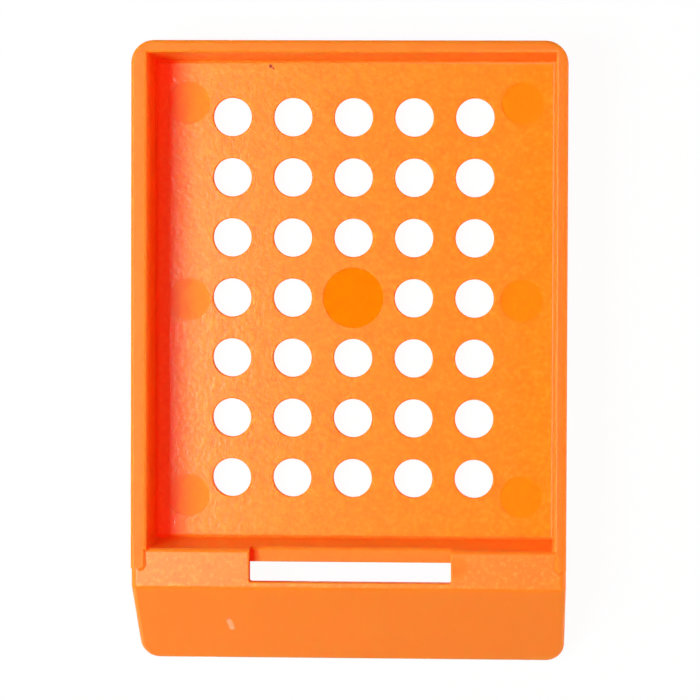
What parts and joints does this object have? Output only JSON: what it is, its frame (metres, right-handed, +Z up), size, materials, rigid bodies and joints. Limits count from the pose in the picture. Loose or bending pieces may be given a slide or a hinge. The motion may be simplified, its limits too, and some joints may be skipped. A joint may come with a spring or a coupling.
{
  "type": "tissue cassette base",
  "caption": "Shallow rectangular orange plastic tray with a perforated floor, flat rim, front ledge with a latch slot, and a slanted writing face; the open base of a tissue cassette.",
  "frame": {"origin": "middle of the overall length and width, on the resting face", "axes": "+X across the cassette, +Y from the writing face at the front to the back wall, +Z up out of the open tray"},
  "size_m": [0.0284, 0.0408, 0.006],
  "materials": {
    "orange_acetal": "satin moulded acetal, slightly translucent, spark-eroded texture on the tray floor and the ledge"
  },
  "bodies": {
    "root": {"cassette_base": "orange_acetal"}
  },
  "joints": []
}
